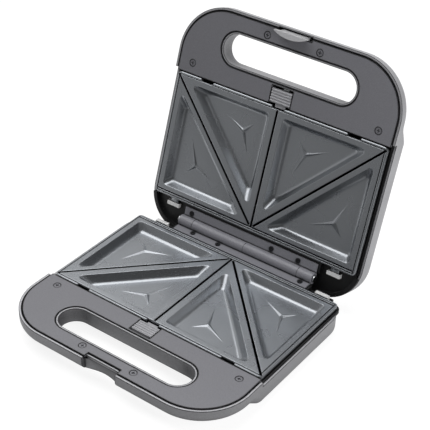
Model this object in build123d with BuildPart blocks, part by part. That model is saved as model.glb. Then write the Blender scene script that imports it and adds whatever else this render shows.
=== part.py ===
from build123d import *
from math import atan, cos, degrees, hypot, radians, sin, tan
import os

# Sandwich toaster: two clamshell halves on one rear hinge, each with a handle bar in front.
# Each half is drawn in its own frame, in millimetres: X runs across, Y from the front edge of
# the cooking plate towards the hinge, and Z = 0 is the plate's rim, with the other half above it.

os.makedirs("parts", exist_ok=True)

# Cooking plates
PLATE_WIDTH = 230.0
PLATE_DEPTH = 124.0
PLATE_THICK = 3.0
SKIRT_DEPTH = 6.0
SKIRT_WALL = 2.5
POCKET_DEPTH = 8.0
POCKET_DRAFT = 30.0
POCKET_CORNER, POCKET_FILLET = 4.2, 4.0
POCKET_MARGIN = 7.7
DIAGONAL_MARGIN = 6.5
GROOVE_WIDTH = 2.2
GROOVE_DEPTH = 2.3
BEAD_WIDTH, BEAD_GROOVE, BEAD_DEPTH = 1.9, 0.9, 0.7
NOTCH_HALF, NOTCH_FLOOR = 7.0, -4.6
NOTCH_X = 80.8
TONGUE_HALF, TONGUE_FRONT, TONGUE_REAR, TONGUE_TOP = 4.5, 122.4, 132.8, -5.2
TONGUE_THICK = 2.0
CREASE_HEIGHT = 1.2

# Cases
CASE_HALF = 119.9
CASE_FRONT = -72.1
FRONT_RADIUS = 50.2
WALL = 2.2
HANDLE_RIM = -1.0
BODY_RIM = -5.2
RIM_STEP_Y = -3.0
HANDLE_FLOOR = -15.5
BODY_FLOOR = -26.0
UNDER_RADIUS = 8.0
SLOPE_FRONT = -19.0
SLOPE_REAR = -5.0
BASE_REAR, BASE_REAR_RADIUS = 128.9, 22.6
LID_REAR, LID_REAR_RADIUS = 156.5, 38.5

# Handle slot, its lip and the seam round the cover
SLOT_Y = -37.3
SLOT_HALF = 57.0
SLOT_RADIUS = 14.6
SLOT_OUTER = 16.4
SEAM = 3.4
SLOT_SEAM = 0.8
COVER_TOP = -0.5
COVER_THICK = 2.5
COVER_BED = COVER_TOP - COVER_THICK - 0.3
COVER_REAR = -1.0
COVER_SCREWS = [(-101.4, -11.5), (101.4, -11.5), (-28.1, -59.9), (28.1, -59.9)]
BOSS_RADIUS = 3.6
PILOT_RADIUS = 1.45
HEAD_RADIUS, HEAD_SEAT = 3.0, 1.1
SCREW_RADIUS = 1.4
HEAD_SIDES, SHANK_SIDES = 12, 8

# Plate release button
BUTTON_HALF = 10.8
BUTTON_FRONT, BUTTON_REAR = -15.5, -2.5
BUTTON_TRAVEL = 2.4
NOSE_HALF = 5.5
NOSE_REACH = 1.6
NOSE_FLOOR, NOSE_THICK = -4.3, 1.2

# Hinge: two equal leaves, turned end for end, on one pin
CLOSED_GAP = 1.0
OPEN_ANGLE = 107.25
HINGE_Y = 141.1
HINGE_Z = CLOSED_GAP / 2
BARREL_RADIUS = 5.5
PIN_RADIUS = 2.5
PIN_HEAD_RADIUS, PIN_HEAD_THICK = 3.6, 1.4
RUNNING_GAP = 0.05
BARREL_END = 77.0
KNUCKLE_SPLIT = 61.0
LEAF_THICK = 1.6
LEAF_TOP = -2.2
LEAF_FRONT = 127.5
LEAF_SCREW_Y = 132.0
LEAF_SCREWS = [-56.0, -26.0, 68.0]

# Lid latch and the catch in the base's front
CLIP_HALF = 17.5
CLIP_OUTER = -69.2
CLIP_THICK = 2.6
CLIP_REACH = 9.3
CLIP_HOOK = 3.8
HOOK_APEX = -64.0
RECESS_HALF = 18.2
LATCH_Y, LATCH_Z = -66.9, -8.0
LATCH_PIN_RADIUS = 1.0
EAR_X, EAR_WIDTH, EAR_LENGTH = 16.0, 3.4, 6.0
SWING_ROOM = 1.6
LEDGE_FRONT, LEDGE_REAR = -66.4, -64.6
LEDGE_TOP, LEDGE_FLOOR = -1.2, -4.2

# Liner, heater and what lies under the plate
LINER_HALF = 117.3
LINER_WALL = 1.6
LINER_GAP = 0.4
LINER_TOP = -4.6
LINER_FLOOR = -22.0
LINER_FRONT = -2.6
REAR_FLOOR = -8.0
HOUSING_HALF = 103.0
HOUSING_REAR = 135.5
HOUSING_FLOOR = -16.0
BED_HALF = 79.0
BED_REAR = 136.5
STOP_REAR = 140.0
TRAY_REAR = 126.4
TRAY_RADIUS = 20.0
FLANGE_RADIUS = 7.0
PLATE_SEAT = -SKIRT_DEPTH - 0.1
BRACKET_X = 93.0
BRACKET_Y, BRACKET_HALF, BRACKET_TOP = 131.5, 7.0, -3.8
STOP_X, STOP_FRONT = 66.0, 134.0
POST_X, POST_Y = 113.4, 7.0
LAMP_BAY = 52.0
HEATER_RADIUS = 3.25
HEATER_Z = -14.2
REFLECTOR_WIDTH, REFLECTOR_DEPTH, REFLECTOR_Y, SHEET = 214.0, 102.0, 67.0, 0.6
THERMOSTAT_Y = 62.0
FUSE_Y = 42.0
LEAD_Z = -14.5
LEAD_RADIUS = 1.3
LINER_SCREWS = [(-110.6, 30.0), (110.6, 30.0), (-110.6, 94.0), (110.6, 94.0)]
GLAND_Y, GLAND_Z = 98.0, -13.0
GLAND_BORE, GLAND_NECK, GLAND_FLANGE = 3.6, 4.35, 5.0
GLAND_LIP = 1.6
LENSES = [-10.0, 10.0]
LENS_Y = 4.5
LENS_RADIUS, LENS_FLANGE, LAMP_RADIUS = 3.0, 4.4, 2.2
LENS_SUNK = 0.4

# Lengths that reach past any piece, for cuts
THROUGH = 40.0
WIDE = 600.0

# Standing height and the row frame
REST_HEIGHT = 30.0
FEET = [(-99.0, 4.0), (99.0, 4.0), (-99.0, 114.0), (99.0, 114.0)]
FOOT_RADIUS, STEM_RADIUS, FOOT_TAPER = 5.4, 2.0, 8.0
OPEN = radians(OPEN_ANGLE)
LID_TIP = (
    HINGE_Y
    + (CASE_FRONT + UNDER_RADIUS - HINGE_Y) * cos(OPEN)
    + (CLOSED_GAP - HANDLE_FLOOR - UNDER_RADIUS - HINGE_Z) * sin(OPEN)
    + UNDER_RADIUS
)
BOX_CENTRE_Y = (CASE_FRONT + LID_TIP) / 2

BASE = Location((0, -BOX_CENTRE_Y, REST_HEIGHT))
LID = (
    BASE
    * Location((0, HINGE_Y, HINGE_Z))
    * Location((0, 0, 0), (-OPEN_ANGLE, 0, 0))
    * Location((0, -HINGE_Y, CLOSED_GAP - HINGE_Z), (0, 180, 0))
)


def save(part, name, half):
    """Put a finished piece where its half stands at rest and write it under its name."""
    piece = part.moved(half)
    piece.label = name
    export_step(piece, f"parts/{name}.step")


def slot_outline(radius, z):
    """The handle slot as a round-ended outline of the given end radius."""
    with BuildSketch(Plane.XY.offset(z)) as outline:
        with Locations((0, SLOT_Y)):
            SlotCenterToCenter(2 * SLOT_HALF, 2 * radius)
    return outline.sketch


def plan_outline(inset, front, rear, rear_radius, z):
    """A half seen from above: straight sides, large front corners and its own rear corners."""
    with BuildSketch(Plane.XY.offset(z)) as outline:
        with Locations((0, (front + rear) / 2)):
            Rectangle(2 * (CASE_HALF - inset), rear - front)
        fillet(outline.vertices().group_by(Axis.Y)[0], FRONT_RADIUS - inset)
        if rear_radius > 0:
            fillet(outline.vertices().group_by(Axis.Y)[-1], rear_radius)
    return outline.sketch


def case_block(inset, rear, rear_radius):
    """The space inside the case's outer skin, shrunk by inset: shallow handle, deeper body."""
    slope = atan((HANDLE_FLOOR - BODY_FLOOR) / (SLOPE_REAR - SLOPE_FRONT))
    shift = inset * tan(slope / 2)
    shallow, deep = HANDLE_FLOOR + inset, BODY_FLOOR + inset
    top, margin = 4.0, 10.0
    plan = plan_outline(
        inset, CASE_FRONT + inset, rear - inset, rear_radius - inset, BODY_FLOOR - margin
    )
    with BuildPart() as block:
        extrude(plan, amount=top + margin - BODY_FLOOR)
        with BuildSketch(Plane.YZ) as side:
            with BuildLine():
                Polyline(
                    (CASE_FRONT - margin, top),
                    (CASE_FRONT - margin, shallow),
                    (SLOPE_FRONT + shift, shallow),
                    (SLOPE_REAR + shift, deep),
                    (rear + margin, deep),
                    (rear + margin, top),
                    close=True,
                )
            make_face()
            bend = side.vertices().filter_by_position(Axis.X, SLOPE_FRONT - 5, SLOPE_REAR + 5)
            fillet(bend, 10.0)
        extrude(amount=CASE_HALF + margin, both=True, mode=Mode.INTERSECT)
        under = block.edges().filter_by(Axis.Z, reverse=True)
        under = under.filter_by_position(Axis.Z, deep - 1, shallow + 1)
        across = under.filter_by(Axis.X)
        inner = across.filter_by_position(Axis.Y, CASE_FRONT + margin, rear - margin)
        fillet(under - inner, UNDER_RADIUS - inset)
    return block.part


def scoop_outline(grow, z):
    """The finger scoop below the catch, a shallow arc between two straight sides."""
    depth = HOOK_APEX + 0.8 + grow
    radius = 39.5 + grow
    with BuildSketch(Plane.XY.offset(z)) as outline:
        with Locations((0, depth - radius)):
            Circle(radius)
        with Locations((0, CASE_FRONT)):
            Rectangle(2 * (RECESS_HALF + grow), 2 * 20, mode=Mode.INTERSECT)
    return outline.sketch


def case_shell(rear, rear_radius, has_catch):
    """The moulded outer case: wall, rim, slot tube, screw bosses and its half of the latch."""
    deep = BODY_FLOOR - 5
    with BuildPart() as cavity:
        add(case_block(WALL, rear, rear_radius))
        extrude(slot_outline(SLOT_OUTER, deep), amount=THROUGH, mode=Mode.SUBTRACT)
        with BuildSketch(Plane.XY.offset(deep)):
            with Locations(*COVER_SCREWS):
                RegularPolygon(BOSS_RADIUS, HEAD_SIDES)
        extrude(amount=THROUGH, mode=Mode.SUBTRACT)
        if has_catch:
            extrude(scoop_outline(1.8, deep), amount=THROUGH, mode=Mode.SUBTRACT)
        else:
            # Two ears that hold the latch's pin.
            with BuildSketch(Plane.XY.offset(deep)):
                with Locations((-EAR_X, LATCH_Y - 0.3), (EAR_X, LATCH_Y - 0.3)):
                    Rectangle(EAR_WIDTH, EAR_LENGTH)
            extrude(amount=THROUGH, mode=Mode.SUBTRACT)
    with BuildPart() as shell:
        add(case_block(0, rear, rear_radius))
        add(cavity.part, mode=Mode.SUBTRACT)
        extrude(slot_outline(SLOT_RADIUS, deep), amount=THROUGH, mode=Mode.SUBTRACT)
        with BuildSketch(Plane.XY.offset(HANDLE_RIM)):
            Rectangle(WIDE, WIDE)
        with BuildSketch(Plane.XY.offset(BODY_RIM)):
            with Locations((0, RIM_STEP_Y)):
                Rectangle(WIDE, WIDE, align=(Align.CENTER, Align.MIN))
        extrude(amount=THROUGH, mode=Mode.SUBTRACT)
        with BuildSketch(Plane.XY.offset(COVER_BED)):
            with Locations(*COVER_SCREWS):
                RegularPolygon(BOSS_RADIUS + 0.3, HEAD_SIDES)
        extrude(amount=THROUGH, mode=Mode.SUBTRACT)
        with BuildSketch(Plane.XY.offset(HANDLE_FLOOR + 2)):
            with Locations(*COVER_SCREWS):
                RegularPolygon(PILOT_RADIUS, SHANK_SIDES)
        extrude(amount=THROUGH, mode=Mode.SUBTRACT)
        if has_catch:
            # The scoop and recess in the front, and the ledge that the hook grips.
            extrude(scoop_outline(0, deep), amount=LEDGE_FLOOR - deep, mode=Mode.SUBTRACT)
            with BuildSketch(Plane.XY.offset(LEDGE_FLOOR)):
                with Locations((0, LEDGE_FRONT)):
                    Rectangle(2 * RECESS_HALF, 20, align=(Align.CENTER, Align.MAX))
            extrude(amount=THROUGH, mode=Mode.SUBTRACT)
            with BuildSketch(Plane.XY.offset(COVER_BED)):
                with Locations((0, CASE_FRONT + WALL)):
                    Rectangle(2 * RECESS_HALF + 6, 12, align=(Align.CENTER, Align.MIN))
                with Locations((0, LEDGE_REAR)):
                    Rectangle(2 * RECESS_HALF, 12, align=(Align.CENTER, Align.MAX), mode=Mode.SUBTRACT)
            extrude(amount=THROUGH, mode=Mode.SUBTRACT)
            with BuildSketch(Plane.XY.offset(LEDGE_TOP)):
                with Locations((0, LEDGE_FRONT)):
                    Rectangle(2 * RECESS_HALF, 6, align=(Align.CENTER, Align.MIN))
            extrude(amount=THROUGH, mode=Mode.SUBTRACT)
        else:
            # Room for the latch to swing outwards, the top of its ears and the pin's hole.
            with BuildSketch(Plane.XY.offset(LATCH_Z + 2)):
                with Locations((0, CLIP_OUTER - SWING_ROOM)):
                    Rectangle(2 * RECESS_HALF, 2 * SWING_ROOM, align=(Align.CENTER, Align.MIN))
            extrude(amount=THROUGH, mode=Mode.SUBTRACT)
            with BuildSketch(Plane.XY.offset(LATCH_Z + 3.4)):
                with Locations((0, LATCH_Y)):
                    Rectangle(2 * RECESS_HALF + 1, 6)
            extrude(amount=THROUGH, mode=Mode.SUBTRACT)
            with BuildSketch(Plane.YZ):
                with Locations((LATCH_Y, LATCH_Z)):
                    Circle(LATCH_PIN_RADIUS)
            extrude(amount=EAR_X + 0.6, both=True, mode=Mode.SUBTRACT)
    return shell.part


def handle_cover(latch_edge):
    """The flush cover of a handle, with its slot, screw holes, button window and latch notch."""
    bottom = COVER_TOP - COVER_THICK
    front = CASE_FRONT + SEAM
    with BuildPart() as cover:
        extrude(plan_outline(SEAM, front, COVER_REAR, 0, bottom), amount=COVER_THICK)
        hole = slot_outline(SLOT_OUTER + SLOT_SEAM, bottom)
        extrude(hole, amount=COVER_THICK, mode=Mode.SUBTRACT)
        with BuildSketch(Plane.XY.offset(bottom)):
            with Locations((0, COVER_REAR)):
                Rectangle(
                    2 * BUTTON_HALF + 1.6,
                    COVER_REAR - BUTTON_FRONT + BUTTON_TRAVEL + 0.3,
                    align=(Align.CENTER, Align.MAX),
                )
            with Locations((0, latch_edge)):
                Rectangle(2 * RECESS_HALF, 20, align=(Align.CENTER, Align.MAX))
        extrude(amount=COVER_THICK, mode=Mode.SUBTRACT)
        holes = (HEAD_RADIUS + 0.3, HEAD_SIDES, HEAD_SEAT), (SCREW_RADIUS + 0.3, SHANK_SIDES, COVER_THICK)
        for radius, sides, depth in holes:
            with BuildSketch(Plane.XY.offset(COVER_TOP)):
                with Locations(*COVER_SCREWS):
                    RegularPolygon(radius, sides)
            extrude(amount=-depth, mode=Mode.SUBTRACT)
    return cover.part


def headed_screws(points, seat, head_radius, head_height, shank_radius, length):
    """Round-head screws, each seated at height seat with a cross recess in its head."""
    with BuildPart() as screws:
        with BuildSketch(Plane.XY.offset(seat)):
            with Locations(*points):
                RegularPolygon(head_radius, HEAD_SIDES)
        extrude(amount=head_height)
        with BuildSketch(Plane.XY.offset(seat)):
            with Locations(*points):
                RegularPolygon(shank_radius, SHANK_SIDES)
        extrude(amount=-length)
        with BuildSketch(Plane.XY.offset(seat + head_height)):
            with Locations(*points):
                Rectangle(1.1 * head_radius, 0.25 * head_radius)
                Rectangle(0.25 * head_radius, 1.1 * head_radius)
        extrude(amount=-0.7 * head_height, mode=Mode.SUBTRACT)
    return screws.part


def pocket_corners(side):
    """Corner points of the front and the rear pocket of one side, -1 left or 1 right."""
    run = hypot(PLATE_WIDTH / 2, PLATE_DEPTH - 5)
    across, along = (PLATE_DEPTH - 5) / run, PLATE_WIDTH / 2 / run
    outer, rear_line, front_line = 107.0, 114.5, 8.0

    inner = PLATE_WIDTH / 2 - POCKET_MARGIN
    edge = PLATE_WIDTH / 2 - outer
    # Where a line beside the diagonal meets a pocket's straight sides, as (d, y) with d measured
    # inwards from the plate's side edge.
    front = [
        ((DIAGONAL_MARGIN + along * front_line) / across, front_line),
        (inner, front_line),
        (inner, (across * inner - DIAGONAL_MARGIN) / along),
    ]
    rear = [
        (edge, (across * edge + DIAGONAL_MARGIN) / along),
        (edge, rear_line),
        ((along * rear_line - DIAGONAL_MARGIN) / across, rear_line),
    ]
    return [[(side * (PLATE_WIDTH / 2 - d), y) for d, y in corners] for corners in (front, rear)]


def pocket(corners):
    """One triangular pocket as a solid: drafted walls, round corners and a filleted floor."""
    with BuildPart() as hollow:
        with BuildSketch():
            Polygon(*corners, align=None)
        extrude(amount=-POCKET_DEPTH, taper=POCKET_DRAFT)
        fillet(hollow.edges().group_by(Axis.Z)[1], POCKET_CORNER)
        fillet(hollow.faces().sort_by(Axis.Z)[0].edges(), POCKET_FILLET)
    return hollow.part


def incentre(corners):
    """The centre of a triangle's inscribed circle."""
    a, b, c = [Vector(x, y) for x, y in corners]
    sides = [(b - c).length, (c - a).length, (a - b).length]
    total = sum(sides)
    return tuple(sum(s * p[k] for s, p in zip(sides, corners)) / total for k in (0, 1))


def crease_star(corners):
    """Three raised creases that run from a pocket's middle towards its corners."""
    cx, cy = incentre(corners)
    reach, waist = 0.40, 2.4
    points = []
    for index, (x, y) in enumerate(corners):
        nx, ny = corners[(index + 1) % 3]
        points.append((cx + reach * (x - cx), cy + reach * (y - cy)))
        mx, my = (x + nx) / 2 - cx, (y + ny) / 2 - cy
        length = hypot(mx, my)
        points.append((cx + waist * mx / length, cy + waist * my / length))
    floor = -POCKET_DEPTH - 0.05
    with BuildPart() as star:
        with BuildSketch(Plane.XY.offset(floor)) as foot:
            Polygon(*points, align=None)
        loft(sections=[foot.sketch.face(), Vertex(cx, cy, -POCKET_DEPTH + CREASE_HEIGHT)])
    return star.part


def cooking_plate():
    """The lift-out cast plate: four triangular pockets, cutting grooves, skirt and tongues."""
    half = PLATE_WIDTH / 2
    triangles = pocket_corners(-1) + pocket_corners(1)
    with BuildPart() as plate:
        with BuildSketch(Plane.XY.offset(-SKIRT_DEPTH)) as rim:
            with Locations((0, PLATE_DEPTH / 2)):
                RectangleRounded(PLATE_WIDTH, PLATE_DEPTH, 4.0)
        extrude(amount=SKIRT_DEPTH)
        with BuildSketch(Plane.XY.offset(-SKIRT_DEPTH)):
            with Locations((0, PLATE_DEPTH / 2)):
                Rectangle(PLATE_WIDTH - 2 * SKIRT_WALL, PLATE_DEPTH - 2 * SKIRT_WALL)
        extrude(amount=SKIRT_DEPTH - PLATE_THICK, mode=Mode.SUBTRACT)
        chamfer(plate.faces().sort_by(Axis.Z)[-1].edges(), 0.7)
        # The outside of each pocket's bowl, under the plate.
        for corners in triangles:
            with BuildSketch(Plane.XY.offset(-PLATE_THICK)):
                Polygon(*corners, align=None)
            extrude(amount=PLATE_THICK - POCKET_DEPTH - 2.5, taper=POCKET_DRAFT / 2)
        for corners in triangles:
            add(pocket(corners), mode=Mode.SUBTRACT)
        for corners in triangles:
            add(crease_star(corners))
        # Cutting grooves: one down the middle and one along each diagonal.
        run = hypot(half, PLATE_DEPTH - 5)
        lean = degrees(atan((PLATE_DEPTH - 5) / half))
        with BuildSketch():
            with Locations((0, PLATE_DEPTH / 2 - 1)):
                Rectangle(GROOVE_WIDTH, PLATE_DEPTH - 8)
            with Locations((0, PLATE_DEPTH - 4.6)):
                Rectangle(PLATE_WIDTH - 6, 1.4)
            for side in (-1, 1):
                middle = (side * (half / 2 + 0.6), (PLATE_DEPTH - 5) / 2 + 0.6)
                with Locations(Location((*middle, 0), (0, 0, -side * lean))):
                    Rectangle(run - 5, GROOVE_WIDTH)
        extrude(amount=-GROOVE_DEPTH, mode=Mode.SUBTRACT)
        # A bead along the edge, set off by a narrow groove.
        with BuildSketch():
            with Locations((0, PLATE_DEPTH / 2)):
                for inset, mode in ((BEAD_WIDTH, Mode.ADD), (BEAD_WIDTH + BEAD_GROOVE, Mode.SUBTRACT)):
                    RectangleRounded(PLATE_WIDTH - 2 * inset, PLATE_DEPTH - 2 * inset, 1.2, mode=mode)
        extrude(amount=-BEAD_DEPTH, mode=Mode.SUBTRACT)
        # Notches in the front edge: the catch's seat in the middle and two open ones.
        with BuildSketch(Plane.XY.offset(NOTCH_FLOOR)):
            Rectangle(2 * NOTCH_HALF, 2 * SKIRT_WALL)
        extrude(amount=-NOTCH_FLOOR, mode=Mode.SUBTRACT)
        with BuildSketch(Plane.XY.offset(-SKIRT_DEPTH)):
            with Locations((-NOTCH_X, 0), (NOTCH_X, 0)):
                Rectangle(2 * NOTCH_HALF, 2 * SKIRT_WALL)
        extrude(amount=SKIRT_DEPTH, mode=Mode.SUBTRACT)
        # Tongues that slide under the steel brackets at the rear.
        with BuildSketch(Plane.XY.offset(TONGUE_TOP)):
            with Locations((-BRACKET_X, TONGUE_FRONT), (BRACKET_X, TONGUE_FRONT)):
                Rectangle(2 * TONGUE_HALF, TONGUE_REAR - TONGUE_FRONT, align=(Align.CENTER, Align.MIN))
        extrude(amount=-TONGUE_THICK)
    return plate.part


def tray_outline(inset, radius, z):
    """The liner's tray seen from above: square in front, with rounded rear corners."""
    with BuildSketch(Plane.XY.offset(z)) as outline:
        with Locations((0, (LINER_FRONT + TRAY_REAR) / 2)):
            Rectangle(2 * (LINER_HALF - inset), TRAY_REAR - LINER_FRONT - 2 * inset)
        fillet(outline.vertices().group_by(Axis.Y)[-1], radius - inset)
    return outline.sketch


def plate_liner(is_lid):
    """The black heat-proof tray that carries plate, heater and hinge leaf inside its case."""
    rear, rear_radius = LID_REAR - WALL - LINER_GAP, LID_REAR_RADIUS - WALL - LINER_GAP
    inner_half = LINER_HALF - LINER_WALL
    well_rear = TRAY_REAR - LINER_WALL
    inset, inner_inset = CASE_HALF - LINER_HALF, CASE_HALF - inner_half
    outside = plan_outline(inset, -60, rear, rear_radius, 0)
    inside = plan_outline(inner_inset, -60, rear - LINER_WALL, rear_radius - LINER_WALL, 0)
    with BuildPart() as liner:
        # The tray, with squarer corners at the top, whose ledges carry the plate.
        flange_floor = PLATE_SEAT - LINER_WALL
        extrude(tray_outline(0, TRAY_RADIUS, LINER_FLOOR), amount=flange_floor - LINER_FLOOR)
        chamfer(liner.faces().sort_by(Axis.Z)[0].edges(), 3.0)
        extrude(tray_outline(0, FLANGE_RADIUS, flange_floor), amount=LINER_TOP - flange_floor)
        if is_lid:
            with BuildSketch(Plane.XY.offset(REAR_FLOOR - LINER_WALL)):
                add(outside)
                with Locations((0, well_rear)):
                    Rectangle(WIDE, WIDE, align=(Align.CENTER, Align.MAX), mode=Mode.SUBTRACT)
            extrude(amount=LINER_TOP - REAR_FLOOR + LINER_WALL)
            with BuildSketch(Plane.XY.offset(REAR_FLOOR)):
                add(inside)
                with Locations((0, well_rear)):
                    Rectangle(WIDE, WIDE, align=(Align.CENTER, Align.MAX), mode=Mode.SUBTRACT)
            extrude(amount=THROUGH, mode=Mode.SUBTRACT)
            # A flange that covers the case's rim round the rear.
            with BuildSketch(Plane.XY.offset(BODY_RIM + 0.2)):
                add(plan_outline(LINER_GAP, -60, LID_REAR - LINER_GAP, LID_REAR_RADIUS - LINER_GAP, 0))
                add(inside, mode=Mode.SUBTRACT)
                with Locations((0, TRAY_REAR)):
                    Rectangle(WIDE, WIDE, align=(Align.CENTER, Align.MAX), mode=Mode.SUBTRACT)
            extrude(amount=1.6)
        else:
            with BuildSketch(Plane.XY.offset(HOUSING_FLOOR)):
                with Locations((0, 122.0)):
                    Rectangle(2 * HOUSING_HALF, HOUSING_REAR - 122, align=(Align.CENTER, Align.MIN))
            extrude(amount=REAR_FLOOR - HOUSING_FLOOR)
            with BuildSketch(Plane.XY.offset(REAR_FLOOR)):
                with Locations((0, well_rear)):
                    Rectangle(2 * HOUSING_HALF, 20, align=(Align.CENTER, Align.MIN))
            extrude(amount=THROUGH, mode=Mode.SUBTRACT)
        # The bed of the hinge leaf, hollowed round the barrel.
        bed_floor = REAR_FLOOR - 0.5 if is_lid else HOUSING_FLOOR
        with BuildSketch(Plane.XY.offset(bed_floor)):
            with Locations((0, well_rear)):
                Rectangle(2 * BED_HALF, BED_REAR - well_rear, align=(Align.CENTER, Align.MIN))
        extrude(amount=LEAF_TOP - LEAF_THICK - bed_floor)
        with BuildSketch(Plane.YZ):
            with Locations((HINGE_Y, HINGE_Z)):
                Circle(BARREL_RADIUS + 0.6)
        extrude(amount=BED_HALF + 3, both=True, mode=Mode.SUBTRACT)
        # The well that takes the plate, the reflector and the heater.
        for inset, radius, z in (
            (LINER_WALL + 2, TRAY_RADIUS, LINER_FLOOR + LINER_WALL),
            (LINER_WALL, TRAY_RADIUS, LINER_FLOOR + LINER_WALL + 3.4),
            (LINER_WALL, FLANGE_RADIUS, PLATE_SEAT),
        ):
            extrude(tray_outline(inset, radius, z), amount=THROUGH, mode=Mode.SUBTRACT)
        if is_lid:
            # A raised part of the floor, which makes room for the indicator lamps beneath it.
            with BuildSketch(Plane.XY.offset(LINER_FLOOR)):
                with Locations((0, LINER_FRONT)):
                    Rectangle(LAMP_BAY, 14, align=(Align.CENTER, Align.MIN))
            extrude(amount=10)
            with BuildSketch(Plane.XY.offset(LINER_FLOOR)):
                with Locations((0, LINER_FRONT)):
                    Rectangle(LAMP_BAY - 2 * LINER_WALL, 14 - LINER_WALL, align=(Align.CENTER, Align.MIN))
            extrude(amount=10 - LINER_WALL, mode=Mode.SUBTRACT)
        else:
            # The housing behind the well is hollow, for the leads.
            with BuildSketch(Plane.XY.offset(HOUSING_FLOOR + LINER_WALL)):
                with Locations((0, 121.0)):
                    Rectangle(
                        2 * (HOUSING_HALF - LINER_WALL),
                        HOUSING_REAR - LINER_WALL - 121,
                        align=(Align.CENTER, Align.MIN),
                    )
            extrude(amount=REAR_FLOOR - HOUSING_FLOOR - 2 * LINER_WALL, mode=Mode.SUBTRACT)
            with BuildSketch(Plane.YZ.offset(-LINER_HALF - 1)):
                with Locations((GLAND_Y, GLAND_Z)):
                    Circle(GLAND_FLANGE + 0.8)
            extrude(amount=5, mode=Mode.SUBTRACT)
            # Stops that the open lid's rear edge comes to rest on.
            with BuildSketch(Plane.XY.offset(HOUSING_FLOOR)):
                with Locations((-STOP_X, STOP_FRONT), (STOP_X, STOP_FRONT)):
                    Rectangle(6, STOP_REAR - STOP_FRONT, align=(Align.CENTER, Align.MIN))
            extrude(amount=4.5)
        # Posts that the plate's front corners rest on.
        with BuildSketch(Plane.XY.offset(LINER_FLOOR + 1)):
            with Locations((-POST_X, POST_Y), (POST_X, POST_Y)):
                Rectangle(5, 5)
        extrude(amount=PLATE_SEAT - LINER_FLOOR - 1)
        with BuildSketch(Plane.XY.offset(LEAF_TOP - LEAF_THICK - 5)):
            with Locations(*[(x, LEAF_SCREW_Y) for x in LEAF_SCREWS]):
                RegularPolygon(1.35, SHANK_SIDES)
        extrude(amount=10, mode=Mode.SUBTRACT)
        with BuildSketch(Plane.XY.offset(LINER_FLOOR - 1)):
            with Locations(*LINER_SCREWS):
                RegularPolygon(SCREW_RADIUS + 0.3, SHANK_SIDES)
        extrude(amount=5, mode=Mode.SUBTRACT)
    return liner.part


def hinge_leaf():
    """One hinge leaf: flat flange with three screw holes, one long and one short knuckle."""
    spans = [(-KNUCKLE_SPLIT + 0.2, -0.2), (KNUCKLE_SPLIT + 0.2, BARREL_END)]
    gaps = [(-BARREL_END - 1, -KNUCKLE_SPLIT + 0.2), (-0.2, KNUCKLE_SPLIT + 0.2)]
    with BuildPart() as leaf:
        with BuildSketch(Plane.XY.offset(LEAF_TOP - LEAF_THICK)):
            with Locations((0, LEAF_FRONT)):
                Rectangle(2 * BARREL_END - 1, HINGE_Y - LEAF_FRONT, align=(Align.CENTER, Align.MIN))
        extrude(amount=LEAF_THICK)
        for start, end in gaps:
            with BuildSketch(Plane.YZ.offset(start)):
                with Locations((HINGE_Y, HINGE_Z)):
                    Circle(BARREL_RADIUS + 0.4)
            extrude(amount=end - start, mode=Mode.SUBTRACT)
        for start, end in spans:
            with BuildSketch(Plane.YZ.offset(start)):
                with Locations((HINGE_Y, HINGE_Z)):
                    Circle(BARREL_RADIUS)
            extrude(amount=end - start)
        with BuildSketch(Plane.YZ):
            with Locations((HINGE_Y, HINGE_Z)):
                Circle(PIN_RADIUS + RUNNING_GAP)
        extrude(amount=BARREL_END + 2, both=True, mode=Mode.SUBTRACT)
        with BuildSketch(Plane.XY.offset(LEAF_TOP)):
            with Locations(*[(x, LEAF_SCREW_Y) for x in LEAF_SCREWS]):
                RegularPolygon(1.6, SHANK_SIDES)
        extrude(amount=-LEAF_THICK, mode=Mode.SUBTRACT)
    return leaf.part


def hinge_rod():
    """The pin through all four knuckles, with a head on each end."""
    with BuildPart() as rod:
        with BuildSketch(Plane.YZ):
            with Locations((HINGE_Y, HINGE_Z)):
                Circle(PIN_RADIUS)
        extrude(amount=BARREL_END + 0.3, both=True)
        for side in (-1, 1):
            with BuildSketch(Plane.YZ.offset(side * (BARREL_END + 0.3))):
                with Locations((HINGE_Y, HINGE_Z)):
                    Circle(PIN_HEAD_RADIUS)
            extrude(amount=side * PIN_HEAD_THICK)
    return rod.part


def release_button():
    """The ribbed slide that frees the plate: finger pad, guide flange, nose and spring seat."""
    top = COVER_TOP - 0.4
    with BuildPart() as button:
        with BuildSketch(Plane.XY.offset(-5.4)):
            with Locations((0, BUTTON_FRONT)):
                Rectangle(2 * BUTTON_HALF + 5, 12.2, align=(Align.CENTER, Align.MIN))
        extrude(amount=2.0)
        with BuildSketch(Plane.XY.offset(-3.6)):
            with Locations((0, BUTTON_FRONT)):
                Rectangle(2 * BUTTON_HALF, BUTTON_REAR - BUTTON_FRONT, align=(Align.CENTER, Align.MIN))
        extrude(amount=top + 3.6)
        pitch = (BUTTON_REAR - BUTTON_FRONT) / 5
        with BuildSketch(Plane.YZ.offset(-BUTTON_HALF)):
            with Locations(*[(BUTTON_FRONT + pitch * (n + 0.5), top - 0.15) for n in range(5)]):
                Circle(0.32 * pitch)
        extrude(amount=2 * BUTTON_HALF)
        with BuildSketch(Plane.XY.offset(NOSE_FLOOR)):
            with Locations((0, BUTTON_REAR - 2)):
                Rectangle(2 * NOSE_HALF, NOSE_REACH - BUTTON_REAR + 2, align=(Align.CENTER, Align.MIN))
        extrude(amount=NOSE_THICK)
        with BuildSketch(Plane.XY.offset(-11.0)):
            with Locations((0, -9.0)):
                Rectangle(9.0, 2.0)
        extrude(amount=6.0)
    return button.part


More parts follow.
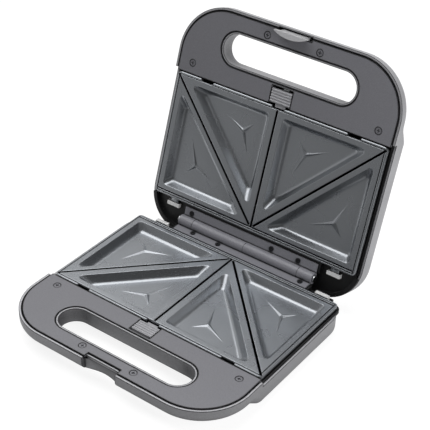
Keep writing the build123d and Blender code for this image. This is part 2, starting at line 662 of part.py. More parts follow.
def leaf_spring(root, tip, bow, width):
    """A bent strip of spring steel from root to tip, both (y, z) points, bowed along Z."""
    bow = ((root[0] + tip[0]) / 2, (root[1] + tip[1]) / 2 + bow)
    with BuildPart() as spring:
        with BuildSketch(Plane.YZ.offset(-width / 2)):
            with BuildLine() as middle:
                ThreePointArc(root, bow, tip)
            trace(middle.line, 0.4)
        extrude(amount=width)
    return spring.part


def heater_rod():
    """The bent tubular heating element, with both cold ends towards the hinge."""
    with BuildPart() as rod:
        with BuildLine(Plane.XY.offset(HEATER_Z)) as path:
            FilletPolyline(
                (-16, 119), (-16, 97), (-94, 97), (-94, 26), (94, 26), (94, 97), (16, 97), (16, 119),
                radius=10,
            )
        with BuildSketch(Plane(path.line @ 0, z_dir=path.line % 0)):
            RegularPolygon(HEATER_RADIUS, 8)
        sweep()
    return rod.part


def reflector_tray():
    """The bright pressed-steel tray under the heater, with turned-up edges."""
    with BuildPart() as tray:
        for inset, floor in ((0, 0.2), (SHEET, 0.2 + SHEET)):
            with BuildSketch(Plane.XY.offset(LINER_FLOOR + LINER_WALL + floor)):
                with Locations((0, REFLECTOR_Y)):
                    Rectangle(REFLECTOR_WIDTH - 2 * inset, REFLECTOR_DEPTH - 2 * inset)
            extrude(amount=9, mode=Mode.SUBTRACT if inset else Mode.ADD)
        with BuildSketch(Plane.XY.offset(LINER_FLOOR)):
            with Locations((-16, 114), (16, 114)):
                Rectangle(9, 12)
        with BuildSketch(Plane.XY.offset(LEAD_Z - 2)):
            with Locations((-107, GLAND_Y), (90, 118)):
                Rectangle(5, 5)
        extrude(amount=THROUGH, mode=Mode.SUBTRACT)
    return tray.part


def plate_brackets():
    """Two bright steel bridges that the plate's rear tongues slide under."""
    with BuildPart() as brackets:
        with BuildSketch(Plane.XY.offset(REAR_FLOOR)):
            with Locations((-BRACKET_X, BRACKET_Y), (BRACKET_X, BRACKET_Y)):
                Rectangle(2 * BRACKET_HALF, 3.8)
        extrude(amount=BRACKET_TOP - REAR_FLOOR)
        with BuildSketch(Plane.XY.offset(REAR_FLOOR)):
            with Locations((-BRACKET_X, BRACKET_Y), (BRACKET_X, BRACKET_Y)):
                Rectangle(2 * BRACKET_HALF - 2, 5.0)
        extrude(amount=BRACKET_TOP - REAR_FLOOR - 1, mode=Mode.SUBTRACT)
    return brackets.part


def lead(points):
    """One insulated lead along straight runs joined by bends, through (x, y) points."""
    with BuildPart() as wire:
        with BuildLine(Plane.XY.offset(LEAD_Z)) as path:
            FilletPolyline(*points, radius=3.2)
        with BuildSketch(Plane(path.line @ 0, z_dir=path.line % 0)):
            RegularPolygon(LEAD_RADIUS, 6)
        sweep()
    return wire.part


# Outer cases
base_case = case_shell(BASE_REAR, BASE_REAR_RADIUS, has_catch=True)
with BuildPart() as base_shell:
    add(base_case)
    # Room for the liner's square corners, opening for the hinge housing, hole for the cord
    # gland and holes for the feet.
    corner_floor = PLATE_SEAT - LINER_WALL - 0.2
    extrude(tray_outline(-0.2, FLANGE_RADIUS, corner_floor), amount=THROUGH, mode=Mode.SUBTRACT)
    with BuildSketch(Plane.XY.offset(HOUSING_FLOOR - 0.5)):
        with Locations((0, 120)):
            Rectangle(2 * HOUSING_HALF + 1, 20, align=(Align.CENTER, Align.MIN))
    extrude(amount=THROUGH, mode=Mode.SUBTRACT)
    with BuildSketch(Plane.YZ.offset(-CASE_HALF - 1)):
        with Locations((GLAND_Y, GLAND_Z)):
            Circle(GLAND_NECK + 0.05)
    extrude(amount=5, mode=Mode.SUBTRACT)
    with BuildSketch(Plane.XY.offset(BODY_FLOOR - 1)):
        with Locations(*FEET):
            RegularPolygon(STEM_RADIUS, SHANK_SIDES)
    extrude(amount=5, mode=Mode.SUBTRACT)
save(base_shell.part, "base_shell", BASE)

lid_case = case_shell(LID_REAR, LID_REAR_RADIUS, has_catch=False)
with BuildPart() as lid_shell:
    add(lid_case)
    # Two holes for the indicator lenses in the top of the lid.
    with BuildSketch(Plane.XY.offset(BODY_FLOOR - 1)):
        with Locations(*[(x, LENS_Y) for x in LENSES]):
            Circle(LENS_RADIUS + RUNNING_GAP)
    extrude(amount=5, mode=Mode.SUBTRACT)
save(lid_shell.part, "lid_shell", LID)

# Handle covers and their screws
save(handle_cover(latch_edge=LEDGE_REAR + 1.2), "base_handle_cover", BASE)
save(handle_cover(latch_edge=CLIP_OUTER + CLIP_THICK + 0.3), "lid_handle_cover", LID)
cover_screws = headed_screws(COVER_SCREWS, COVER_TOP - HEAD_SEAT, HEAD_RADIUS, 0.9, SCREW_RADIUS, 9.0)
save(cover_screws, "base_cover_screws", BASE)
save(cover_screws, "lid_cover_screws", LID)

# Cooking plates
plate = cooking_plate()
save(plate, "base_plate", BASE)
save(plate, "lid_plate", LID)

# Liners with their screws
save(plate_liner(is_lid=False), "base_liner", BASE)
save(plate_liner(is_lid=True), "lid_liner", LID)
liner_screws = headed_screws(LINER_SCREWS, LINER_FLOOR + LINER_WALL, 2.8, 1.6, SCREW_RADIUS, 3.0)
save(liner_screws, "base_liner_screws", BASE)
save(liner_screws, "lid_liner_screws", LID)

# Hinge
leaf = hinge_leaf()
leaf_screws = headed_screws([(x, LEAF_SCREW_Y) for x in LEAF_SCREWS], LEAF_TOP, 2.5, 1.0, 1.3, 6.0)
save(leaf, "base_hinge_leaf", BASE)
save(leaf, "lid_hinge_leaf", LID)
save(leaf_screws, "base_hinge_screws", BASE)
save(leaf_screws, "lid_hinge_screws", LID)
save(hinge_rod(), "hinge_pin", BASE)

# Plate release buttons with their springs
button = release_button()
button_spring = leaf_spring((-20.6, -10.6), (-10.3, -8.0), 0.9, 6.0)
save(button, "base_release_button", BASE)
save(button, "lid_release_button", LID)
save(button_spring, "base_release_spring", BASE)
save(button_spring, "lid_release_spring", LID)

# Heating elements, reflectors and the brackets behind the plates
heater = heater_rod()
reflector = reflector_tray()
brackets = plate_brackets()
for name, piece in (("heater", heater), ("reflector", reflector), ("plate_brackets", brackets)):
    save(piece, f"base_{name}", BASE)
    save(piece, f"lid_{name}", LID)

# Latch on the lid's handle
with BuildPart() as latch_clip:
    with BuildSketch(Plane.YZ.offset(-CLIP_HALF + 4.2)):
        with Locations((LATCH_Y, LATCH_Z)):
            Circle(2.4)
        with Locations((CLIP_OUTER, LATCH_Z)):
            Rectangle(CLIP_THICK, CLIP_REACH - LATCH_Z, align=(Align.MIN, Align.MIN))
        with Locations((LATCH_Y + 0.6, LATCH_Z)):
            Rectangle(2.2, 3.6, align=(Align.CENTER, Align.MAX))
    extrude(amount=2 * CLIP_HALF - 8.4)
    with BuildSketch(Plane.XY.offset(CLIP_REACH - CLIP_HOOK)):
        with BuildLine():
            Line((-CLIP_HALF, CLIP_OUTER + 0.9), (-CLIP_HALF, CLIP_OUTER))
            Line((-CLIP_HALF, CLIP_OUTER), (CLIP_HALF, CLIP_OUTER))
            Line((CLIP_HALF, CLIP_OUTER), (CLIP_HALF, CLIP_OUTER + 0.9))
            ThreePointArc((CLIP_HALF, CLIP_OUTER + 0.9), (0, HOOK_APEX), (-CLIP_HALF, CLIP_OUTER + 0.9))
        make_face()
    extrude(amount=CLIP_HOOK)
    with BuildSketch(Plane.YZ):
        with Locations((LATCH_Y, LATCH_Z)):
            Circle(LATCH_PIN_RADIUS + RUNNING_GAP)
    extrude(amount=CLIP_HALF, both=True, mode=Mode.SUBTRACT)
save(latch_clip.part, "latch_clip", LID)

with BuildPart() as latch_pin:
    with BuildSketch(Plane.YZ):
        with Locations((LATCH_Y, LATCH_Z)):
            Circle(LATCH_PIN_RADIUS)
    extrude(amount=EAR_X + 0.5, both=True)
save(latch_pin.part, "latch_pin", LID)
save(leaf_spring((-54.0, -8.6), (-64.9, -10.8), 0.9, 5.0), "latch_spring", LID)

# Indicator lenses in the lid's top, each with its lamp behind it
for name, x in (("power_lens", LENSES[0]), ("ready_lens", LENSES[1])):
    with BuildPart() as lens:
        with BuildSketch(Plane.XY.offset(BODY_FLOOR + LENS_SUNK)):
            with Locations((x, LENS_Y)):
                Circle(LENS_RADIUS)
        extrude(amount=WALL)
        with BuildSketch(Plane.XY.offset(BODY_FLOOR + WALL)):
            with Locations((x, LENS_Y)):
                Circle(LENS_FLANGE)
        extrude(amount=1.2)
    save(lens.part, name, LID)

with BuildPart() as lamps:
    with BuildSketch(Plane.XY.offset(BODY_FLOOR + WALL + 1.3)):
        with Locations(*[(x, LENS_Y) for x in LENSES]):
            Circle(LAMP_RADIUS)
    extrude(amount=6.5)
save(lamps.part, "indicator_lamps", LID)

# Thermostat, thermal fuse and leads in the base, leads in the lid
well_floor = LINER_FLOOR + LINER_WALL + 0.8
with BuildPart() as thermostat:
    with BuildSketch(Plane.XY.offset(well_floor)):
        with Locations((0, THERMOSTAT_Y)):
            Rectangle(26, 9)
            Circle(7.2)
    extrude(amount=1.0)
    with BuildSketch(Plane.XY.offset(well_floor + 1.0)):
        with Locations((0, THERMOSTAT_Y)):
            Circle(6.6)
    extrude(amount=9.4)
    with BuildSketch(Plane.XY.offset(well_floor + 10.4)):
        with Locations((0, THERMOSTAT_Y)):
            Circle(5.6)
    extrude(amount=1.4)
save(thermostat.part, "thermostat", BASE)

with BuildPart() as thermal_fuse:
    with BuildSketch(Plane.YZ):
        with Locations((FUSE_Y, well_floor + 3.0)):
            Circle(2.1)
    extrude(amount=11, both=True)
    with BuildSketch(Plane.YZ):
        with Locations((FUSE_Y, well_floor + 3.0)):
            Circle(0.6)
    extrude(amount=15, both=True)
save(thermal_fuse.part, "thermal_fuse", BASE)

supply_route = [(-114.4, GLAND_Y), (-100.5, GLAND_Y), (-100.5, 109), (-30, 109), (-30, 116), (-19.3, 116)]
save(lead(supply_route), "base_supply_lead", BASE)
save(lead([(12.7, 114), (4, 114), (4, THERMOSTAT_Y + 7.2)]), "base_heater_lead", BASE)
lid_route = [(19.3, 116), (40, 116), (40, 106), (90, 106), (90, 123.6)]
save(lead(lid_route), "lid_heater_lead", LID)

# Cord gland, pushed into the base's left wall from inside
with BuildPart() as cord_gland:
    with BuildSketch(Plane.YZ.offset(-CASE_HALF + 0.2)):
        with Locations((GLAND_Y, GLAND_Z)):
            Circle(GLAND_NECK)
    extrude(amount=WALL - 0.1)
    with BuildSketch(Plane.YZ.offset(-CASE_HALF + WALL + 0.1)):
        with Locations((GLAND_Y, GLAND_Z)):
            Circle(GLAND_FLANGE)
    extrude(amount=GLAND_LIP)
    with BuildSketch(Plane.YZ.offset(-CASE_HALF)):
        with Locations((GLAND_Y, GLAND_Z)):
            Circle(GLAND_BORE)
    extrude(amount=WALL + GLAND_LIP + 1, mode=Mode.SUBTRACT)
save(cord_gland.part, "cord_gland", BASE)

# Rubber feet with stems through the case
with BuildPart() as rubber_feet:
    with BuildSketch(Plane.XY.offset(-REST_HEIGHT)):
        with Locations(*FEET):
            Circle(FOOT_RADIUS)
    extrude(amount=REST_HEIGHT + BODY_FLOOR, taper=-FOOT_TAPER)
    with BuildSketch(Plane.XY.offset(BODY_FLOOR)):
        with Locations(*FEET):
            RegularPolygon(STEM_RADIUS, SHANK_SIDES)
    extrude(amount=WALL)
save(rubber_feet.part, "rubber_feet", BASE)
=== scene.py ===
import bpy
import numpy as np
from mathutils import Matrix

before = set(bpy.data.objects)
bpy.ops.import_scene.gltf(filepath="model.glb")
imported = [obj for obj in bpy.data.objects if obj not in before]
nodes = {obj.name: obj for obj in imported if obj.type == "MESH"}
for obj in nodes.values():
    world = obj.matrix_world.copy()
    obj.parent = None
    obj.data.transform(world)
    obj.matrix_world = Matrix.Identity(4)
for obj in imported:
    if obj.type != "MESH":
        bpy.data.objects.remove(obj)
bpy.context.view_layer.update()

# The camera stands in front of the open toaster, to its right and well above it, and looks
# down at it through a long lens, rolled by about two degrees.
film_width, focal_length = 36.0, 99.4  # mm
camera_place = (0.50573, -0.69792, 0.69378)
yaw, pitch, roll = 0.616, -0.599, 0.034  # radians

camera_data = bpy.data.cameras.new("camera")
camera_data.sensor_width = film_width
camera_data.lens = focal_length
camera = bpy.data.objects.new("camera", camera_data)
bpy.context.scene.collection.objects.link(camera)
bpy.context.scene.camera = camera
ahead = np.array([-np.sin(yaw) * np.cos(pitch), np.cos(yaw) * np.cos(pitch), np.sin(pitch)])
across = np.cross(ahead, (0.0, 0.0, 1.0))
across /= np.linalg.norm(across)
above = np.cross(across, ahead)
camera_axes = np.eye(4)
camera_axes[:3, 0] = np.cos(roll) * across + np.sin(roll) * above
camera_axes[:3, 1] = -np.sin(roll) * across + np.cos(roll) * above
camera_axes[:3, 2] = -ahead
camera_axes[:3, 3] = camera_place
camera.matrix_world = Matrix(camera_axes.tolist())
bpy.context.scene.view_settings.view_transform = "Standard"

# The studio: a wide softbox overhead and a smaller one on the right, inside a white surround
# and over a white paper table that both grow dimmer towards the viewer. Camera, mirror and
# glass rays see the paper white, and it keeps a faint shadow.
white = (1, 1, 1, 1)


def linear(code):
    """sRGB hex to linear: c / 12.92 up to 0.04045, above it ((c + 0.055) / 1.055) to the power 2.4."""
    c = np.array([int(code[i : i + 2], 16) for i in (1, 3, 5)]) / 255.0
    return (*np.where(c <= 0.04045, c / 12.92, ((c + 0.055) / 1.055) ** 2.4).tolist(), 1.0)


def add_node(tree, kind, settings=None, links=None):
    """Adds one shader node; settings fill its sockets or properties, links join sources to its sockets."""
    node = tree.nodes.new(kind)
    for name, value in (settings or {}).items():
        if isinstance(name, str) and hasattr(node, name):
            setattr(node, name, value)
        else:
            node.inputs[name].default_value = value
    for name, source in (links or {}).items():
        tree.links.new(source, node.inputs[name])
    return node


def ray_kinds(tree):
    """Two sockets: 1 for rays from the camera or through glass, and 1 for mirrored rays."""
    rays = add_node(tree, "ShaderNodeLightPath").outputs
    clear = add_node(
        tree,
        "ShaderNodeMath",
        {"operation": "MAXIMUM"},
        {0: rays["Is Camera Ray"], 1: rays["Is Transmission Ray"]},
    )
    return clear.outputs[0], rays["Is Glossy Ray"]


# Name, place and size in metres, turn in radians, power in watts, and whether it is mirrored.
softboxes = (
    ("overhead_softbox", (-0.45, 0.05, 1.60), 1.8, (-0.02, -0.28, 0.0), 25.0, True),
    ("side_softbox", (0.80, -0.25, 0.50), 0.45, (0.0, 1.15, -0.35), 5.0, False),
)
for name, place, size, turn, power, mirrored in softboxes:
    lamp = bpy.data.lights.new(name, "AREA")
    lamp.size = size
    lamp.energy = power
    lamp_object = bpy.data.objects.new(name, lamp)
    lamp_object.location = place
    lamp_object.rotation_euler = turn
    lamp_object.visible_glossy = mirrored
    bpy.context.scene.collection.objects.link(lamp_object)

# The surround's strength is 1 where it is seen or mirrored, and room_light where it only
# lights. The toaster gets the share dim_side of that from the near right, side_reach across,
# and dim_top of it from above high_sky. Both heights and the reach are parts of a direction.
room_light, dim_side, dim_top = 0.30, 0.10, 0.62
side_reach = 1.2
low_sky, high_sky = 0.15, 0.55

surround = bpy.data.worlds.new("white_surround")
surround.use_nodes = True
tree = surround.node_tree
tree.nodes.clear()
clear_ray, mirror_ray = ray_kinds(tree)
paper_white = add_node(tree, "ShaderNodeMath", {"operation": "MAXIMUM"}, {0: clear_ray, 1: mirror_ray})
strength = add_node(
    tree, "ShaderNodeMapRange", {"To Min": room_light, "To Max": 1.0}, {"Value": paper_white.outputs[0]}
)
toward = add_node(tree, "ShaderNodeTexCoord")
compass = add_node(tree, "ShaderNodeSeparateXYZ", None, {0: toward.outputs["Generated"]})
away = add_node(
    tree, "ShaderNodeMath", {"operation": "SUBTRACT"}, {0: compass.outputs["Y"], 1: compass.outputs["X"]}
)
behind = add_node(
    tree,
    "ShaderNodeMapRange",
    {"From Min": -side_reach, "From Max": side_reach, "To Min": dim_side, "To Max": 1.0},
    {"Value": away.outputs[0]},
)
upward = add_node(
    tree,
    "ShaderNodeMapRange",
    {"From Min": low_sky, "From Max": high_sky, "To Min": 1.0, "To Max": dim_top},
    {"Value": compass.outputs["Z"]},
)
falloff = add_node(
    tree, "ShaderNodeMath", {"operation": "MULTIPLY"}, {0: behind.outputs[0], 1: upward.outputs[0]}
)
seen = add_node(tree, "ShaderNodeMath", {"operation": "MAXIMUM"}, {0: falloff.outputs[0], 1: clear_ray})
level = add_node(
    tree, "ShaderNodeMath", {"operation": "MULTIPLY"}, {0: strength.outputs[0], 1: seen.outputs[0]}
)
sky = add_node(tree, "ShaderNodeBackground", {"Color": white}, {"Strength": level.outputs[0]})
add_node(tree, "ShaderNodeOutputWorld", None, {"Surface": sky.outputs[0]})
bpy.context.scene.world = surround

# The table: a flat sheet of white paper. Its glow, with the lamps' light on it, makes white.
# Mirrored, it grows from near_share at near_line to full at far_line, lines that slant turns
# with X, and a painted shadow dims it within contact_reach of the toaster.
table_left, table_right, table_near, table_far = -2.5, 2.5, -1.1, 3.0
paper_glow, contact_reach = 0.86, 0.06
near_line, far_line, near_share, slant = -0.22, 0.12, 0.12, -0.5

table_mesh = bpy.data.meshes.new("table_top")
table_corners = [
    (table_left, table_near, 0),
    (table_right, table_near, 0),
    (table_right, table_far, 0),
    (table_left, table_far, 0),
]
table_mesh.from_pydata(table_corners, [], [(0, 1, 2, 3)])
table_top = bpy.data.objects.new("table_top", table_mesh)
bpy.context.scene.collection.objects.link(table_top)
paper = bpy.data.materials.new("white_paper_table")
paper.use_nodes = True
tree = paper.node_tree
tree.nodes.clear()
clear_ray, mirror_ray = ray_kinds(tree)
place = add_node(tree, "ShaderNodeTexCoord")
compass = add_node(tree, "ShaderNodeSeparateXYZ", None, {0: place.outputs["Object"]})
away = add_node(
    tree,
    "ShaderNodeMath",
    {"operation": "MULTIPLY_ADD", 1: slant},
    {0: compass.outputs["X"], 2: compass.outputs["Y"]},
)
falloff = add_node(
    tree,
    "ShaderNodeMapRange",
    {"From Min": near_line, "From Max": far_line, "To Min": near_share, "To Max": 1.0},
    {"Value": away.outputs[0]},
)
# Painted shadow: the mirrored glow dims where the toaster shuts out the sky.
shade = add_node(tree, "ShaderNodeAmbientOcclusion", {"samples": 8, "Distance": contact_reach})
shaded = add_node(
    tree, "ShaderNodeMath", {"operation": "MULTIPLY"}, {0: falloff.outputs[0], 1: shade.outputs["AO"]}
)
mirrored = add_node(tree, "ShaderNodeMath", {"operation": "MULTIPLY"}, {0: shaded.outputs[0], 1: mirror_ray})
seen = add_node(tree, "ShaderNodeMath", {"operation": "MAXIMUM"}, {0: mirrored.outputs[0], 1: clear_ray})
lift = add_node(tree, "ShaderNodeMath", {"operation": "MULTIPLY", 1: paper_glow}, {0: seen.outputs[0]})
glow = add_node(tree, "ShaderNodeEmission", {"Color": white}, {"Strength": lift.outputs[0]})
sheet = add_node(tree, "ShaderNodeBsdfDiffuse", {"Color": linear("#8A8A8A")})
both = add_node(tree, "ShaderNodeAddShader", None, {0: sheet.outputs[0], 1: glow.outputs[0]})
add_node(tree, "ShaderNodeOutputMaterial", None, {"Surface": both.outputs[0]})
table_mesh.materials.append(paper)

# The two outer cases: each one ABS moulding with rim, rolled under edge, handle bar and the
# tube round the hand slot, sprayed silver grey outside. The ends of the slot and narrow gaps
# are darkened towards black with painted shade.
blotch_size = 0.040  # m, the width of the slow patches in a finish
grain_low, grain_high = 0.35, 0.65  # values of the fine noise for the first and second colour
blotch_low, blotch_high = 0.3, 0.7  # values of the slow noise for the least and most roughness
edge_turned, edge_straight = 0.95, 0.992  # cosines: normal rounded off at an edge, and straight
bowl_shut, bowl_open = 0.74, 0.94  # open share of the sky beside a wall, and clear of it
bowl_reach = 1.5  # how far that looks, in radii of the bowl


def dress(material, *names):
    """Gives CAD nodes one material in place of the plain one they were packed with."""
    for name in names:
        nodes[name].material_slots[0].material = material


def shade_towards(tree, shade, colour, value, darkest, clearest):
    """Mixes colour towards shade: all shade where value is at darkest, none from clearest on."""
    share = add_node(
        tree, "ShaderNodeMapRange", {"From Min": darkest, "From Max": clearest}, {"Value": value}
    )
    mixed = add_node(
        tree,
        "ShaderNodeMix",
        {"data_type": "RGBA", 6: linear(shade)},
        {0: share.outputs[0], 7: colour},
    )
    return mixed.outputs[2]


def finish(
    name,
    colours,
    roughness,
    grain,
    depth,
    settings,
    blotch=0.1,
    gap_shade=None,
    hollow_shade=None,
    edge_shade=None,
    soften=0.0003,
    bowl=0,
):
    """One finish: a fine grain of size grain (m) mixes two colours and lifts the bump by depth
    (m), and a slow noise moves roughness by the share blotch. Edges look rounded to the radius
    soften (m). gap_shade is painted shade, as (colour, reach, darkest, clearest): where less of the sky than
    clearest is open within reach, the skin turns towards colour, fully so at darkest. hollow_shade is
    painted shade as gap_shade, but counts only the piece's own walls. edge_shade is painted shade along
    edges, as (colour, width): the skin turns to colour within width of the edges. bowl is a wider radius
    (m), for the rounding inside hollows.
    Real grains are 0.02 to 0.3 mm wide; all are drawn 0.7 to 2 mm wide, so that they show."""
    material = bpy.data.materials.new(name)
    material.use_nodes = True
    tree = material.node_tree
    tree.nodes.clear()
    place = add_node(tree, "ShaderNodeTexCoord").outputs["Object"]
    fine = add_node(
        tree,
        "ShaderNodeTexNoise",
        {"Scale": 1.0 / grain, "Detail": 3.0, "Roughness": 0.6},
        {"Vector": place},
    )
    slow = add_node(
        tree, "ShaderNodeTexNoise", {"Scale": 1.0 / blotch_size, "Detail": 2.0}, {"Vector": place}
    )
    tone = add_node(tree, "ShaderNodeValToRGB", None, {"Fac": fine.outputs["Fac"]})
    for element, position, code in zip(tone.color_ramp.elements, (grain_low, grain_high), colours):
        element.position = position
        element.color = linear(code)
    colour = tone.outputs["Color"]
    # Painted shade along edges: the skin darkens where the rounded normal turns away from the true one.
    if edge_shade:
        shade, width = edge_shade
        rounded = add_node(tree, "ShaderNodeBevel", {"samples": 8, "Radius": width})
        surface = add_node(tree, "ShaderNodeNewGeometry")
        turned = add_node(
            tree,
            "ShaderNodeVectorMath",
            {"operation": "DOT_PRODUCT"},
            {0: rounded.outputs[0], 1: surface.outputs["True Normal"]},
        )
        colour = shade_towards(tree, shade, colour, turned.outputs["Value"], edge_turned, edge_straight)
    # Painted shade in gaps and hollows: the skin darkens where little of the sky is open.
    for near, own_walls in ((hollow_shade, True), (gap_shade, False)):
        if near:
            shade, reach, darkest, clearest = near
            shut = add_node(
                tree,
                "ShaderNodeAmbientOcclusion",
                {"samples": 12, "only_local": own_walls, "Distance": reach},
            )
            colour = shade_towards(tree, shade, colour, shut.outputs["AO"], darkest, clearest)
    rough_low, rough_high = roughness * (1 - blotch), roughness * (1 + blotch)
    rough = add_node(
        tree,
        "ShaderNodeMapRange",
        {"From Min": blotch_low, "From Max": blotch_high, "To Min": rough_low, "To Max": rough_high},
        {"Value": slow.outputs["Fac"]},
    )
    softened = add_node(tree, "ShaderNodeBevel", {"samples": 12, "Radius": soften})
    normal = softened.outputs[0]
    if bowl:
        wide = add_node(tree, "ShaderNodeBevel", {"samples": 16, "Radius": bowl})
        near_wall = add_node(
            tree, "ShaderNodeAmbientOcclusion", {"samples": 12, "Distance": bowl_reach * bowl}
        )
        on_land = add_node(
            tree,
            "ShaderNodeMapRange",
            {"From Min": bowl_shut, "From Max": bowl_open},
            {"Value": near_wall.outputs["AO"]},
        )
        mixed = add_node(
            tree,
            "ShaderNodeMix",
            {"data_type": "VECTOR"},
            {0: on_land.outputs[0], 4: wide.outputs[0], 5: normal},
        )
        normal = mixed.outputs[1]
    bump = add_node(
        tree,
        "ShaderNodeBump",
        {"Strength": 1.0, "Distance": depth},
        {"Height": fine.outputs["Fac"], "Normal": normal},
    )
    skin = add_node(
        tree,
        "ShaderNodeBsdfPrincipled",
        settings,
        {"Base Color": colour, "Roughness": rough.outputs[0], "Normal": bump.outputs[0]},
    )
    add_node(tree, "ShaderNodeOutputMaterial", None, {"Surface": skin.outputs[0]})
    return material


# Metallic lacquer on ABS: fine flakes give a soft sheen that follows the light. Painted
# shade darkens its edges to a mid grey, which dims their highlight.
silver_spray = finish(
    "silver_sprayed_abs",
    colours=("#ACACAF", "#B8B8BB"),
    roughness=0.48,
    grain=0.0010,
    depth=0.000006,
    settings={"Metallic": 0.65},
    gap_shade=("#060607", 0.004, 0.34, 0.62),
    hollow_shade=("#1A1A1C", 0.030, 0.55, 0.96),
    edge_shade=("#5E5E61", 0.0016),
)
dress(silver_spray, "base_shell", "lid_shell")

# The liners: trays of black glass-filled polyester that stand heat, moulded in one piece
# each, which hold plate, reflector, heater and hinge leaf and are screwed into the cases.
# Black PBT straight from a satin mould: dull, with a faint sheen on the edges.
black_pbt = finish(
    "moulded_black_pbt",
    colours=("#0B0B0C", "#111112"),
    roughness=0.5,
    grain=0.0012,
    depth=0.00002,
    settings={"IOR": 1.5},
)
dress(black_pbt, "base_liner", "lid_liner")

# The cooking plates: pressure-cast aluminium, drafted pockets with filleted floors, grooves
# and a bead, sprayed with a grey non-stick coat. They drop into the liners.
# PTFE coat with metal flakes on cast aluminium: satin, mirrors its surroundings softly.
# Painted shade darkens grooves, bead and tight corners towards black.
coated = finish(
    "flaked_nonstick_on_cast_aluminium",
    colours=("#94979B", "#989B9F"),
    roughness=0.27,
    grain=0.0007,
    depth=0.0000008,
    settings={"Metallic": 0.9},
    gap_shade=("#0A0A0B", 0.0040, 0.42, 0.80),
    soften=0.0008,
    bowl=0.0050,
)
dress(coated, "base_plate", "lid_plate")

# The handle covers: flat ABS mouldings let flush into the handle bars, held by four screws.
# Dark grey ABS with a fine spark-eroded grain, matt. Painted shade turns its edges and the
# seams round it nearly black, where the seam throws no light back.
grained = finish(
    "dark_grey_grained_abs",
    colours=("#707075", "#78787D"),
    roughness=0.42,
    grain=0.0009,
    depth=0.00002,
    settings={"IOR": 1.5},
    gap_shade=("#060607", 0.003, 0.34, 0.62),
    edge_shade=("#0A0A0B", 0.0018),
)
dress(grained, "base_handle_cover", "lid_handle_cover")

# The cover screws: steel, cross-recess heads let into the covers and lacquered in their grey.
# Lacquered steel is a little smoother than the cover round it, so a head catches more light.
# Painted shade darkens the ring round each head and its cross recess towards black.
lacquered = finish(
    "grey_lacquered_steel_screw",
    colours=("#6C6C71", "#78787D"),
    roughness=0.36,
    grain=0.0008,
    depth=0.00001,
    settings={"Metallic": 0.3},
    gap_shade=("#050505", 0.002, 0.45, 0.85),
)
dress(lacquered, "base_cover_screws", "lid_cover_screws")

# The release buttons: ribbed slides behind each handle, on a spring, whose nose holds the
# plate. Moulded ABS in a lighter grey than the cover, straight from a polished mould, which
# leaves it slightly glossy.
# Painted shade darkens the gaps round each button towards black.
button_grey = finish(
    "mid_grey_moulded_abs",
    colours=("#9A9A9E", "#A4A4A8"),
    roughness=0.36,
    grain=0.0012,
    depth=0.00001,
    settings={"IOR": 1.5},
    gap_shade=("#0A0A0B", 0.0025, 0.34, 0.66),
)
dress(button_grey, "base_release_button", "lid_release_button")

# The hinge: two equal leaves, moulded with barrel knuckles and screwed to the liners.
# Glass-filled nylon in mid grey, moulded: the fibres leave it a satin skin.
# Painted shade darkens its narrow gaps towards black.
hinge_grey = finish(
    "grey_glass_filled_nylon",
    colours=("#76767C", "#808086"),
    roughness=0.36,
    grain=0.0012,
    depth=0.00001,
    settings={"IOR": 1.5},
    gap_shade=("#0A0A0B", 0.003, 0.40, 0.74),
)
dress(hinge_grey, "base_hinge_leaf", "lid_hinge_leaf")

# Hinge pin, latch pin and springs: drawn or rolled spring steel, pushed into their seats.
# The zinc is plated on, a thin layer that gives a cool bright skin with cloudy patches.
zinc = finish(
    "zinc_plated_spring_steel",
    colours=("#B4B6B8", "#C6C8CA"),
    roughness=0.28,
    grain=0.0008,
    depth=0.00001,
    settings={"Metallic": 1.0},
    blotch=0.2,
)
dress(zinc, "hinge_pin", "latch_pin", "base_release_spring", "lid_release_spring", "latch_spring")

# The bridges behind the plates, which hold their rear tongues: bent steel strip in the liner.
# It is tinned, so it is the brightest metal here, with a soft even shine.
tinned = finish(
    "bright_tinned_steel",
    colours=("#EAEAEA", "#F4F4F4"),
    roughness=0.30,
    grain=0.0010,
    depth=0.00001,
    settings={"Metallic": 0.3},
    blotch=0.15,
)
dress(tinned, "base_plate_brackets", "lid_plate_brackets")

# The screws of hinge and liners: steel, cold-headed with pan heads and a cross recess.
# Blacked in a hot oxide bath: near black, with an oily sheen.
oxide = finish(
    "black_oxide_steel",
    colours=("#242426", "#303033"),
    roughness=0.4,
    grain=0.0008,
    depth=0.00001,
    settings={"Metallic": 0.6},
    blotch=0.2,
)
dress(oxide, "base_hinge_screws", "lid_hinge_screws", "base_liner_screws", "lid_liner_screws")

# The latch clip on the lid's handle: moulded in one piece, it turns on a pin and is pulled
# out with a finger. Light grey ABS, smooth from a polished mould.
# Painted shade darkens the gaps round the clip towards black.
clip_grey = finish(
    "light_grey_moulded_abs",
    colours=("#B6B6B8", "#BEBEC0"),
    roughness=0.32,
    grain=0.0012,
    depth=0.00001,
    settings={"IOR": 1.5},
    gap_shade=("#141415", 0.002, 0.30, 0.62),
)
dress(clip_grey, "latch_clip")

# The heating elements: steel tubes round a resistance coil in magnesia, bent to a loop under
# each plate. Their own heat has darkened the steel to a warm, uneven brown grey.
oxidised = finish(
    "heat_darkened_steel_tube",
    colours=("#5A5650", "#6E6A64"),
    roughness=0.45,
    grain=0.0015,
    depth=0.00002,
    settings={"Metallic": 0.8},
    blotch=0.3,
)
dress(oxidised, "base_heater", "lid_heater")

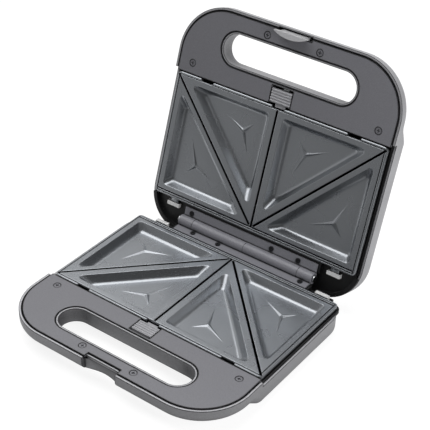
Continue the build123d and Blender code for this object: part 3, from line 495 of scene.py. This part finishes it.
# The reflectors: trays pressed from thin steel sheet, which throw the heat at the plates.
# The sheet is hot-dipped in aluminium: bright, with large soft clouds in its shine.
aluminised = finish(
    "bright_aluminised_steel_sheet",
    colours=("#C4C4C6", "#D2D2D4"),
    roughness=0.25,
    grain=0.0020,
    depth=0.00001,
    settings={"Metallic": 1.0},
    blotch=0.3,
)
dress(aluminised, "base_reflector", "lid_reflector")

# The thermostat: a pressed steatite body held under a spring bracket, which switches the
# heaters. The ceramic is fired unglazed: chalky, off-white and dull.
steatite = finish(
    "unglazed_steatite",
    colours=("#CFC9BC", "#DAD5CA"),
    roughness=0.55,
    grain=0.0010,
    depth=0.00002,
    settings={"IOR": 1.6},
)
dress(steatite, "thermostat")

# Leads and thermal fuse: copper wires in sleeves of woven glass yarn, clipped in the case.
# The yarn is soaked in silicone: cream white, rough and without shine.
sleeve = finish(
    "silicone_soaked_glass_sleeve",
    colours=("#D2D0CA", "#E6E4DF"),
    roughness=0.75,
    grain=0.0008,
    depth=0.00008,
    settings={"IOR": 1.45},
)
dress(sleeve, "thermal_fuse", "base_supply_lead", "base_heater_lead", "lid_heater_lead")

# Feet and cord gland: pressed and cured in moulds, and pushed through holes in the case.
# Black silicone rubber: deep black and nearly matt.
rubber = finish(
    "black_silicone_rubber",
    colours=("#0E0E0E", "#151515"),
    roughness=0.65,
    grain=0.0010,
    depth=0.00002,
    settings={"IOR": 1.43},
)
dress(rubber, "rubber_feet", "cord_gland")

# The indicator lenses, moulded and snapped into the lid, red for power and green for ready.
# Tinted polycarbonate: clear, smooth and glossy, so that the colour looks deep.
for lens_name, lens_node, lens_colours in (
    ("red_tinted_polycarbonate", "power_lens", ("#B01812", "#BC2018")),
    ("green_tinted_polycarbonate", "ready_lens", ("#1C8A34", "#229A3C")),
):
    tinted = finish(
        lens_name,
        colours=lens_colours,
        roughness=0.18,
        grain=0.0020,
        depth=0.000002,
        settings={"IOR": 1.58, "Transmission Weight": 0.4},
    )
    dress(tinted, lens_node)

# The glow lamps under the lenses: small tubes blown from glass, filled with neon and sealed.
# The glass is clear with a faint warm tint, and very smooth.
lamp_glass = finish(
    "blown_lamp_glass",
    colours=("#F2F0EC", "#FAF8F4"),
    roughness=0.06,
    grain=0.0020,
    depth=0.000001,
    settings={"IOR": 1.5, "Transmission Weight": 0.8},
)
dress(lamp_glass, "indicator_lamps")
